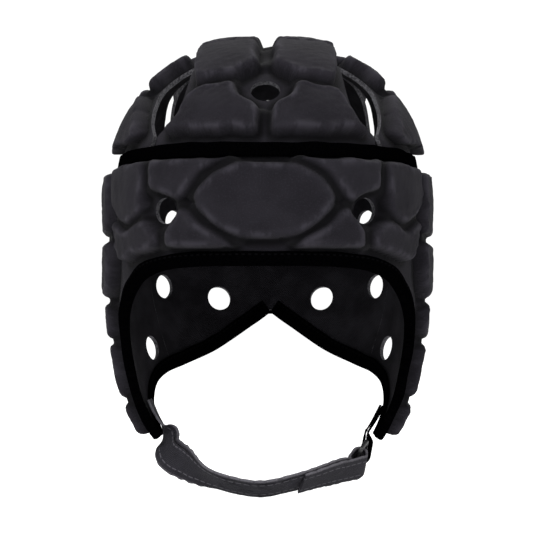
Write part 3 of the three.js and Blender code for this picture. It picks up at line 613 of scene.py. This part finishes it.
def crossed(pads):
    return [(mirrored(pad), *rest) for pad, *rest in pads]


def handed(side, outline, pads, vents):
    if side > 0:
        return outline, pads, vents
    return mirrored(outline), crossed(pads), [mirrored(vent) for vent in vents]


half = np.concatenate([
    crownSeamArc(180, 139.5), crownLine("leafBackInner")[::-1], crownLine("leafFrontInner"),
    crownSeamArc(39.5, 0),
])
pads = crownPads(crown["middlePads"])
pads += crossed(pads)
vents = [circle((0, along * crown["unit"]), crown["ventRadius"]) for along in crown["ventsAlong"]]
panelPiece("crown_panel", crownSurface, wholeOutline(half), pads, vents, 10)

leafOuter = crownLine("leafOuter")
outline = np.concatenate([turned(leafOuter), leafOuter, crownSeamArc(43.5, 136.5)])
pads = crownPads(crown["sidePads"])
pads.append((turned(pads[1][0]), *pads[1][1:]))
for word, side in (("left", 1), ("right", -1)):
    panelPiece("crown_side_panel_" + word, crownSurface, *handed(side, outline, pads, []), 30 + side,
               padding["lean"])

band = {  # degrees from the front, then shares of a drop
    "ventRadius": 6.9,
    "drawnUp": 2.6,  # how far its binding draws up the edge at the nape
    "browHeight": 58.4,
    "napeDrop": 88.4,
    "tabDrop": 154.4,
    "browSeam": 63.5,
    "faceEdge": [[0, 0], [12, 0], [24, 0.007], [35, 0.028], [45, 0.075], [53.5, 0.155], [61, 0.25],
                 [67.5, 0.354], [71.5, 0.49], [73.5, 0.635], [75.5, 0.781], [79, 0.906], [84, 1]],
    "napeEdge": [[179.2, 0], [173, 0.098], [157.5, 0.31], [142.5, 0.432], [131, 0.5], [122, 0.583],
                 [115, 0.697], [108, 0.833], [102, 1]],
    "backSeam": [[128, 0.03], [128, 0.5], [130.5, 0.76], [134.5, 1]],
    "browPads": [  # corner, share of the height, line
        [9, 1, [[-21.4, 0.43], [-16.5, 0.23], [-8, 0.115], [8, 0.115], [16.5, 0.23], [21.4, 0.43],
                [16, 0.64], [7, 0.78], [-7, 0.78], [-16, 0.64]]],
    ],
    "browSidePads": [
        [3, 1, [[10.5, 0.085], [36.8, 0.085], [35.8, 0.34], [30.5, 0.385], [25.2, 0.45], [22.6, 0.38],
                [18.5, 0.2]]],
        [3, 1, [[8.6, 0.86], [12, 0.765], [18.8, 0.645], [22, 0.53], [24.5, 0.5], [27.6, 0.6],
                [30, 0.7], [30, 0.86]]],
        [4.5, 1, [[39.6, 0.09], [61.8, 0.13], [61.8, 0.45], [56, 0.56], [48, 0.655], [40, 0.56],
                  [38.6, 0.3]]],
        [4.5, 1, [[33, 0.73], [36.5, 0.625], [40, 0.615], [48, 0.72], [58.6, 0.6], [58, 0.84], [53, 1],
                  [44, 0.93], [33, 0.86]]],
    ],
    "sidePads": [
        [4.5, 1.12, [[66.2, 0.062], [91.6, 0.065], [91.6, 0.25], [86, 0.287], [66.2, 0.27]]],
        [4.5, 1.12, [[95.2, 0.065], [126, 0.058], [126, 0.27], [101, 0.285], [95.2, 0.25]]],
        [4.5, 1.12, [[66.2, 0.3], [86, 0.315], [91.6, 0.345], [91.6, 0.465], [87, 0.495], [74, 0.503],
                     [68.5, 0.46], [66.2, 0.4]]],
        [4.5, 1.12, [[95.2, 0.345], [101, 0.313], [126, 0.298], [126.2, 0.49], [100, 0.495],
                     [95.2, 0.465]]],
        [4.5, 1, [[76.4, 0.53], [86, 0.521], [91.6, 0.585], [91.6, 0.636], [78.6, 0.64]]],
        [4.5, 1, [[95.2, 0.585], [101, 0.521], [121, 0.521], [121, 0.6], [116, 0.636], [95.2, 0.636]]],
        [4.5, 1, [[80.2, 0.668], [113, 0.662], [108, 0.82], [105, 0.84], [83, 0.845]]],
        [4, 1, [[84.6, 0.874], [104, 0.87], [101, 0.98], [88.5, 0.98]]],
    ],
    "backPads": [
        [4.5, 1, [[130.4, 0.075], [141.4, 0.075], [140.6, 0.27], [137, 0.37], [130.4, 0.37]]],
        [4.5, 1, [[145.4, 0.075], [177.6, 0.075], [177.6, 0.35], [150.5, 0.35], [146.4, 0.27]]],
        [4.5, 1, [[130.4, 0.42], [135, 0.42], [139, 0.52], [148, 0.52], [151, 0.41], [155, 0.41],
                  [155, 0.66], [146, 0.71], [137, 0.69], [130.6, 0.68]]],
        [4.5, 1, [[158.5, 0.41], [177.6, 0.41], [177.6, 0.88], [170, 0.82], [158.5, 0.74]]],
        [4.5, 1, [[133.4, 0.97], [142, 0.87], [151, 0.81], [156, 0.97], [152.5, 1.1], [136.5, 1.19]]],
        [4.5, 1, [[162.5, 1], [168.5, 0.9], [171, 0.93], [169, 1.02], [160.5, 1.09]]],
    ],
    "browVents": [[32.5, 0.53]],
    "sideVents": [[93.4, 0.295], [93.4, 0.524], [123.8, 0.695]],
    "backVents": [[143.5, 0.387], [136.6, 0.815], [160.5, 0.895]],
}
browEdge, notch, tabTip = [
    -head["seamDrop"] - band[key] for key in ("browHeight", "napeDrop", "tabDrop")
]
notch += band["drawnUp"]


def around(degrees):
    return np.radians(degrees) * head["unroll"]


def bandPoints(rows, size):
    rows = np.array(rows, float)
    return np.stack([around(rows[:, 0]), -head["seamDrop"] - rows[:, 1] * size], -1)


def bandPads(key, size):
    return [(roundedOutline(bandPoints(points, size), corner), share, 0) for corner, share, points in band[key]]


def bandVents(key, size):
    return [circle(centre, band["ventRadius"]) for centre in bandPoints(band[key], size)]


def edgeLine(key, top):
    return smoothLine([[around(turn), top + (tabTip - top) * fall] for turn, fall in band[key]])


def bandSeam(start, end):
    turn = np.linspace(start, end, int(abs(end - start) / 1.5) + 1)
    return np.stack([around(turn), seamHeight(np.radians(turn)) - 0.2], -1)


def heightOn(line, u):
    order = np.argsort(line[:, 0])
    return np.interp(u, line[order, 0], line[order, 1])


faceLine = edgeLine("faceEdge", browEdge)
napeLine = edgeLine("napeEdge", notch)


def backSeam(shift):
    last = around(band["backSeam"][-1][0])
    foot = heightOn(napeLine, last + shift)
    top = -head["seamDrop"]
    points = [[around(turn), top + (foot - top) * fall] for turn, fall in band["backSeam"]]
    return smoothLine(points) + [shift, 0]


foot = np.array([around(band["browSeam"]), heightOn(faceLine, around(band["browSeam"]))])
brow = faceLine[faceLine[:, 0] < foot[0] - 1.5]
half = np.concatenate([brow, foot[None], bandSeam(band["browSeam"], 0)])
besides = bandPads("browSidePads", band["browHeight"])
pads = bandPads("browPads", band["browHeight"]) + besides + crossed(besides)
vents = bandVents("browVents", band["browHeight"])
vents += [mirrored(vent) for vent in vents]
panelPiece("brow_panel", bandSurface, wholeOutline(half), pads, vents, 50)

foot = foot + [0.2, 0]
back = backSeam(0)
outline = np.concatenate([
    foot[None], faceLine[faceLine[:, 0] > foot[0] + 1.5],
    napeLine[napeLine[:, 0] < back[-1, 0] - 2][::-1], back[::-1],
    bandSeam(band["backSeam"][0][0], band["browSeam"] + 0.1),
])
sidePads, sideVents = bandPads("sidePads", band["tabDrop"]), bandVents("sideVents", band["tabDrop"])
front = backSeam(0.2)
foot = napeLine[napeLine[:, 0] > front[-1, 0] + 2]
middleFoot = [[math.pi * head["unroll"] + 0.05, foot[0, 1]]]
outlineBack = np.concatenate([
    front, foot[::-1], middleFoot, bandSeam(180.03, band["backSeam"][0][0] + 0.1),
])
backPads, backVents = bandPads("backPads", band["napeDrop"]), bandVents("backVents", band["napeDrop"])
for word, side in (("left", 1), ("right", -1)):
    sheet = handed(side, outline, sidePads, sideVents)
    panelPiece("side_panel_" + word, bandSurface, *sheet, 70 + side)
    sheet = handed(side, outlineBack, backPads, backVents)
    panelPiece("back_panel_" + word, bandSurface, *sheet, 90 + side)
print("panels padded")

# Tapes and webbing: a grid rolled round a section that runs along a path


def rolled(name, along, rounds, place, closed=False):
    bm = bmesh.new()
    bmesh.ops.create_grid(bm, x_segments=along, y_segments=rounds, size=0.5)
    shares = np.array([v.co[:2] for v in bm.verts]) + 0.5
    points, flat = place(shares[:, 0], shares[:, 1])
    uv = bm.loops.layers.uv.new("pattern")
    bm.verts.index_update()
    for f in bm.faces:
        f.smooth = True
        for loop in f.loops:
            loop[uv].uv = flat[loop.vert.index] * 0.001
    for v, point in zip(bm.verts, points * 0.001):
        v.co = point
    bmesh.ops.remove_doubles(bm, verts=bm.verts[:], dist=2e-6)
    if not closed:
        ends = bmesh.ops.holes_fill(bm, edges=[e for e in bm.edges if e.is_boundary])["faces"]
        for f in ends:
            for e in f.edges:
                e.smooth = False
    bmesh.ops.recalc_face_normals(bm, faces=bm.faces[:])
    mesh = bpy.data.meshes.new(name)
    bm.to_mesh(mesh)
    bm.free()
    return mesh


def pathLength(points):
    return np.append(0, np.cumsum(np.linalg.norm(np.diff(points, axis=0), axis=1)))


def onPath(points, share, rows=None):
    # the points of a path, or the rows that go with them, at shares of its length
    length = pathLength(points)
    rows = points if rows is None else rows
    return np.stack([np.interp(share * length[-1], length, column) for column in rows.T], -1)


def wayAlong(points, share, step):
    return onPath(points, np.clip(share + step, 0, 1)) - onPath(points, np.clip(share - step, 0, 1))


def square(wide, high):
    return np.array([[-1, -1], [1, -1], [1, 1], [-1, 1]]) * [wide, high]


tapes = {
    "step": 1.3,
    "view": 3,  # how far ahead and back a tape's way is read
    "waver": 0.22,  # how far the hand-guided edges wander
    "swell": 0.16,  # how far the face rises and falls
    "waverLength": 23.0,
    "freeFrom": 2,  # where a section's free edges and its face start
    "binding": [
        [-1.6, -1.3], [6.2, -1.3], [6.2, -0.2], [-0.2, -0.2], [-0.2, 2.7], [6.2, 2.7], [6.2, 4.1],
        [-1.6, 4.1],
    ],
    "bindingCorners": [2.0, 0.5, 0.4, 0.3, 0.3, 0.4, 0.6, 2.0],
    "seam": [[-3.7, 2.8], [3.7, 2.8], [3.7, 4.5], [-3.7, 4.5]],
    "seamCorner": 0.8,
    "tie": [[-4, 4.5], [4, 4.5], [4, 5.9], [-4, 5.9]],
    "tieCorner": 0.7,
    "tieHalf": 10,
    "tieRise": 3.0,  # over the notch
}


def tapePiece(name, surface, line, section, corners, seed, closed=False):
    loop = roundedOutline(section, corners, 4)
    loop = np.concatenate([loop, loop[:1]])
    total = pathLength(line)[-1]
    step = tapes["view"] / total

    def place(s, t):
        at = onPath(line, s)
        if closed:
            ahead = onPath(line, (s + step / 2) % 1) - at
            ahead[:, 0] = np.abs(ahead[:, 0]) % 50  # on past the place where the ends meet
            spots = np.stack([np.cos(s * 2 * math.pi), np.sin(s * 2 * math.pi)], -1) * total / 6.3
        else:
            ahead = wayAlong(line, s, step)
            spots = (s * total)[:, None]
        wander = ripple(spots, tapes["waverLength"], seed)
        ahead /= np.linalg.norm(ahead, axis=1, keepdims=True)
        across = onPath(loop, t)
        free = across > tapes["freeFrom"]
        x = across[:, 0] + tapes["waver"] * wander * free[:, 0]
        y = across[:, 1] + tapes["swell"] * wander * free[:, 1]
        flat = at + np.stack([-ahead[:, 1], ahead[:, 0]], -1) * x[:, None]
        return lay(surface, flat, y), np.stack([s * total, x], -1)

    mesh = rolled(name, int(total / tapes["step"]), len(loop) - 1, place, closed)
    dressed(mesh, name + "_tape", name, [looks["tape"]])


faceRound = np.concatenate([mirrored(faceLine)[:-1], faceLine])
bound = (("face_binding", faceRound, 3), ("nape_binding_left", napeLine[::-1], 5),
         ("nape_binding_right", mirrored(napeLine[::-1]), 7))
for name, line, seed in bound:
    tapePiece(name, bandSurface, line, tapes["binding"], tapes["bindingCorners"], seed)
turn = np.linspace(0, 360, 361)
seamLine = np.stack([around(turn), seamHeight(np.radians(turn))], -1)
tapePiece("crown_seam_tape", bandSurface, seamLine, tapes["seam"], tapes["seamCorner"], 9, closed=True)
tieAcross = np.linspace(-tapes["tieHalf"], tapes["tieHalf"], 21)
tieLine = np.stack([math.pi * head["unroll"] + tieAcross, np.full(21, notch + tapes["tieRise"])], -1)
tapePiece("nape_tie", bandSurface, tieLine, tapes["tie"], tapes["tieCorner"], 11)
print("tapes laid")

strap = {
    "width": 20,
    "thick": 1.6,
    "gap": 0.4,  # between layers
    "step": 0.9,
    "evening": 6,  # rounds that even out the path and its twist
    "twistWeight": 4,
    "frayed": 0.3,
    "halfSpan": 70,
    "forward": 45,
    "fall": 27,
    "onTab": [18, 9, -1],  # heights over the tab's tip
    "tabLift": -3.8,
    "fold": 4.0,  # radius of the loose fold round the ring's bar, at the webbing's middle
    "lead": [-8, -3],
    "doubled": [21.2 / 28, 25.6 / 28],  # shares of the path that the free end lies over
    "stations": [
        [-0.79, 0.22, 0.32], [-0.63, 0.52, 0.56], [-0.435, 0.81, 0.8], [-0.24, 0.96, 0.94],
        [-0.03, 1, 1], [0.19, 0.96, 0.89], [0.37, 0.82, 0.77], [0.52, 0.63, 0.68],
    ],
    "across": [0, -0.86, 0.5],
    "twist": [0.8, 0.26, 0.2],  # turns its face to the front below the tab
    "fromTab": (0.03, 0.3),  # shares of the path between which each turn is made
    "twistOn": (0.085, 0.18),
    "twistOff": (0.24, 0.48),
    "toRing": (0.75, 1),
    "bar": 2.2,
    "barAt": [0.72, 0.3, 0.55],  # shares of the half span, the reach forward and the fall
    "ringWay": [0.46, 0.6, 0.65],
    "ringDepth": 10,
    "ringLong": 25.6,
    "ringCorner": 3,
    "tabWidth": 14,
    "tabThick": 1.0,
    "ringOnTab": [14, 6, -2],
    "ringTabLift": -4.2,
    "ringLead": 4,
}


def unit(vector):
    vector = np.asarray(vector, float)
    return vector / np.linalg.norm(vector, axis=-1, keepdims=True)


def curveThrough(points, samples=40):
    # a centripetal curve through points in space
    points = np.asarray(points, float)
    whole = np.concatenate([[2 * points[0] - points[1]], points, [2 * points[-1] - points[-2]]])
    t = np.linspace(0, 1, samples, endpoint=False)[:, None]
    pieces = []
    for p0, p1, p2, p3 in zip(whole, whole[1:], whole[2:], whole[3:]):
        d0, d1, d2 = [np.linalg.norm(b - a) ** 0.5 for a, b in ((p0, p1), (p1, p2), (p2, p3))]
        a = ((p1 - p0) / d0 - (p2 - p0) / (d0 + d1) + (p2 - p1) / d1) * d1
        b = ((p2 - p1) / d1 - (p3 - p1) / (d1 + d2) + (p3 - p2) / d2) * d1
        pieces.append((2 * (p1 - p2) + a + b) * t ** 3 + (3 * (p2 - p1) - 2 * a - b) * t ** 2 + a * t + p1)
    return np.concatenate([*pieces, points[-1:]])


def hanging(shares):
    # a place under the tabs, from its shares of the strap's half span, reach forward and fall
    side, ahead, down = shares
    return np.array([side * strap["halfSpan"], -ahead * strap["forward"], tabTip - down * strap["fall"]])


def onCheek(degrees, heights, lift):
    rows = np.array([[around(degrees), tabTip + up] for up in heights])
    return lay(bandSurface, rows, np.full(len(heights), lift))


ringWay, tabAcross, strapAcross = unit(strap["ringWay"]), np.array([0, -1.0, 0]), unit(strap["across"])
ringWide = unit(strapAcross - ringWay * (strapAcross @ ringWay))
ringOut = np.cross(ringWay, ringWide)
ringBar = hanging(strap["barAt"])
farBar = ringBar + ringWay * (strap["ringDepth"] - strap["bar"])


def webbingPiece(name, points, wide, width, thick, slot, material, seed, frayed=0.0):
    # the path and the way across it are evened out together
    stations = resampled(np.concatenate([points, wide * strap["twistWeight"]], axis=1), strap["step"])
    for _ in range(strap["evening"]):
        stations[1:-1] = stations[1:-1] * 0.5 + (stations[:-2] + stations[2:]) * 0.25
    points, wide = stations[:, :3], unit(stations[:, 3:])
    total = pathLength(points)[-1]
    section = roundedOutline(square(width / 2, thick / 2), thick * 0.45, 3)
    top = np.linspace(-1, 1, 14)[1:-1] * (width / 2 - thick * 0.5)
    lower = np.stack([top, np.full(12, -thick / 2)], -1)
    upper = mirrored(lower) * [1, -1]
    loop = np.concatenate([section[:4], lower, section[4:12], upper, section[12:], section[:1]])

    def place(s, t):
        at, across = onPath(points, s), onPath(points, s, wide)
        ahead = wayAlong(points, s, 1.5 / total)
        out = unit(np.cross(ahead, across))
        across = unit(np.cross(out, ahead))
        spot = onPath(loop, t)
        edge = np.clip(np.abs(spot[:, 0]) / (width / 2) - 0.8, 0, 1) * 5
        fray = frayed * ripple((s * total)[:, None], 5.0, seed)
        x = spot[:, 0] + np.sign(spot[:, 0]) * edge * fray
        y = spot[:, 1] * (1 - 0.15 * edge) + 0.10 * ripple(np.stack([s * total, x], -1), 13.0, seed + 1)
        return at + across * x[:, None] + out * y[:, None], np.stack([s * total, x], -1)

    mesh = rolled(name, int(total / strap["step"]), len(loop) - 1, place)
    dressed(mesh, name + "_" + slot, name, [material])


def barTurn(bar, radius, start, end):
    angle = np.radians(np.linspace(start, end, 30))[:, None]
    return bar + radius * (np.cos(angle) * ringWay + np.sin(angle) * ringOut)


# The chin strap, from the wearer's right tab to the ring and back over itself
onTab = onCheek(-92, strap["onTab"], strap["tabLift"])
hung = np.array([hanging(shares) for shares in strap["stations"]])
lead = np.array([ringBar + ringWay * along - ringOut * strap["fold"] for along in strap["lead"]])
path = resampled(curveThrough(np.concatenate([onTab, hung, lead])), 0.8)
share = np.linspace(0, 1, len(path))[:, None]
wide = tabAcross + (strapAcross - tabAcross) * smoothStep(share, *strap["fromTab"])
twist = smoothStep(share, *strap["twistOn"]) * (1 - smoothStep(share, *strap["twistOff"]))
wide = wide + np.array(strap["twist"]) * twist
wide = unit(wide + (ringWide - wide) * smoothStep(share, *strap["toRing"]))
outward = unit(np.cross(np.gradient(path, axis=0), wide))
freeEnd, ringEnd = strap["doubled"]
run = (share[:, 0] >= freeEnd) & (share[:, 0] <= ringEnd)
back = (path + outward * (strap["thick"] + strap["gap"]))[run][::-1]
fold = barTurn(ringBar, strap["fold"], -75, 105)
strapPath = np.concatenate([path, fold, back])
strapWide = np.concatenate([wide, np.repeat(ringWide[None], len(fold), 0), wide[run][::-1]])
webbingPiece("chin_strap", strapPath, strapWide, strap["width"], strap["thick"], "webbing",
             looks["webbing"], 21, strap["frayed"])


def ringTabRun(lift, side, radius):
    tab = onCheek(92, strap["ringOnTab"], lift)
    near = farBar + ringWay * strap["ringLead"] + ringOut * side * radius
    return resampled(curveThrough(np.concatenate([tab, near[None]])), 0.8)


def tabWide(count):
    eased = smoothStep(np.linspace(0, 1, count), 0.4, 1)[:, None]
    return tabAcross + (ringWide - tabAcross) * eased


tabRadius = strap["bar"] * 0.77 + strap["gap"] + strap["tabThick"] / 2
outer = ringTabRun(strap["ringTabLift"], 1, tabRadius)
under = ringTabRun(strap["ringTabLift"] - strap["tabThick"] - strap["gap"], -1, tabRadius)[::-1]
fold = barTurn(farBar, tabRadius, 90, 270)
path = np.concatenate([outer, fold, under])
foldWide = np.repeat(ringWide[None], len(fold), 0)
wide = np.concatenate([tabWide(len(outer)), foldWide, tabWide(len(under))[::-1]])
webbingPiece("ring_tab", path, unit(-wide), strap["tabWidth"], strap["tabThick"], "binding",
             looks["tape"], 25)

ringMiddle = (ringBar + farBar) / 2
barHalf = strap["bar"] / 2
ringSize = np.array([strap["ringLong"] / 2 - barHalf, strap["ringDepth"] / 2 - barHalf])
ringCorners = np.array([[1, 1], [-1, 1], [-1, -1], [1, -1]]) * ringSize
ringLine = roundedOutline(ringCorners, strap["ringCorner"] - 1.0, 8)
ringLine = np.concatenate([ringLine, ringLine[:1]])
barLoop = roundedOutline(square(barHalf, barHalf), 0.8, 4)
barLoop = np.concatenate([barLoop, barLoop[:1]])


def placeRing(s, t):
    at = onPath(ringLine, s)
    ahead = unit(onPath(ringLine, (s + 0.004) % 1) - onPath(ringLine, (s - 0.004) % 1))
    spot = onPath(barLoop, t)
    flat = at + np.stack([ahead[:, 1], -ahead[:, 0]], -1) * spot[:, :1]
    points = ringMiddle + flat[:, :1] * ringWide + flat[:, 1:] * ringWay + spot[:, 1:] * ringOut
    return points, np.stack([s * pathLength(ringLine)[-1], t * 8], -1)


ring = rolled("strap_ring", 96, len(barLoop) - 1, placeRing, closed=True)
dressed(ring, "strap_ring_moulded", "strap_ring", [looks["plastic"]])
print("strap and ring fitted")

# Floor, lights and camera

studio = {
    "floor": -0.2445,
    "floorHalf": 20,
    "sky": 0.36,
    "backdrop": 1.05,  # the white that the camera sees past the floor
    "camera": (0.02625, -1.49977, -0.117),
    "turn": 0.018,  # the camera stands a little to the wearer's left
    "lens": 180.9,
    "lamps": [  # place, size, watts
        [(-0.75, -1.25, 1.25), 1.2, 42],
        [(1.25, -1.0, 0.55), 1.2, 12],
        [(0.1, 0.9, 1.45), 1.3, 29],
        [(0.0, -1.7, -0.05), 0.9, 3],
    ],
    "aim": (0, 0, -0.1),
}


def paleFloor():
    bm = bmesh.new()
    bmesh.ops.create_grid(bm, x_segments=2, y_segments=2, size=studio["floorHalf"])
    bmesh.ops.translate(bm, vec=(0, 0, studio["floor"]), verts=bm.verts[:])
    mesh = bpy.data.meshes.new("floor")
    bm.to_mesh(mesh)
    bm.free()
    look = Finish("pale_floor")
    mesh.materials.append(look.finished(
        base_color=(0.5, 0.5, 0.5, 1), roughness=0.9, specular_ior_level=0.1,
        emission_color=(1, 1, 1, 1), emission_strength=0.86,
    ))
    floor = bpy.data.objects.new("floor", mesh)
    bpy.context.scene.collection.objects.link(floor)


def softLight(place, size, watts):
    lamp = bpy.data.lights.new("soft_light", "AREA")
    lamp.shape, lamp.size, lamp.energy = "DISK", size, watts
    light = bpy.data.objects.new("soft_light", lamp)
    light.location = place
    light.rotation_euler = (Vector(studio["aim"]) - Vector(place)).to_track_quat("-Z", "Y").to_euler()
    bpy.context.scene.collection.objects.link(light)


def paleWorld():
    world = bpy.data.worlds.new("studio")
    world.use_nodes = True
    tree = world.node_tree
    tree.nodes.clear()
    choice = tree.nodes.new("ShaderNodeMixShader")
    seen = tree.nodes.new("ShaderNodeLightPath")
    tree.links.new(seen.outputs["Is Camera Ray"], choice.inputs[0])
    for side, strength in ((1, studio["sky"]), (2, studio["backdrop"])):
        light = tree.nodes.new("ShaderNodeBackground")
        light.inputs["Color"].default_value = (1, 1, 1, 1)
        light.inputs["Strength"].default_value = strength
        tree.links.new(light.outputs[0], choice.inputs[side])
    result = tree.nodes.new("ShaderNodeOutputWorld")
    tree.links.new(choice.outputs[0], result.inputs[0])
    bpy.context.scene.world = world
    bpy.context.scene.view_settings.view_transform = "Standard"


paleFloor()
for lamp in studio["lamps"]:
    softLight(*lamp)
paleWorld()

lens = bpy.data.cameras.new("camera")
lens.lens, lens.sensor_width, lens.sensor_fit = studio["lens"], 36, "HORIZONTAL"
lens.clip_end = 100
camera = bpy.data.objects.new("camera", lens)
camera.location = studio["camera"]
camera.rotation_euler = (math.pi / 2, 0, studio["turn"])
bpy.context.scene.collection.objects.link(camera)
bpy.context.scene.camera = camera
print("studio set")

bpy.context.view_layer.update()
